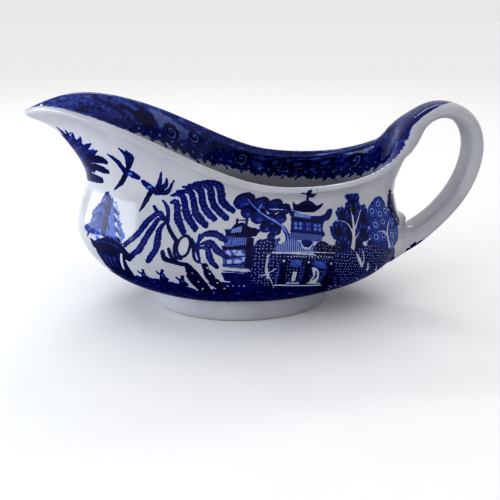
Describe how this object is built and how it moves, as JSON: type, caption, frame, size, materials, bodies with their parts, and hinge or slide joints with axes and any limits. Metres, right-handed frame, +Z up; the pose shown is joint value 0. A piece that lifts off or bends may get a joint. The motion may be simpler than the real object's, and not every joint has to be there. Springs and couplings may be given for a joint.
{
  "type": "gravy boat",
  "caption": "Oval glazed earthenware gravy boat with a drawn-out pouring spout, an oval foot ring and a looped strap handle, printed in blue.",
  "frame": {"origin": "centre of the oval foot, on the plane the boat stands on", "axes": "+Z up; -X towards the tip of the spout, +X towards the handle; the boat is the same on both sides of the XZ plane"},
  "size_m": [0.2033, 0.0838, 0.096],
  "materials": {
    "printed_glaze": "gloss",
    "white_glaze": "gloss",
    "handle_glaze": "gloss"
  },
  "bodies": {
    "root": {"bowl": "printed_glaze", "foot_ring": "white_glaze", "handle": "handle_glaze", "handle_slip": "white_glaze"}
  },
  "joints": []
}
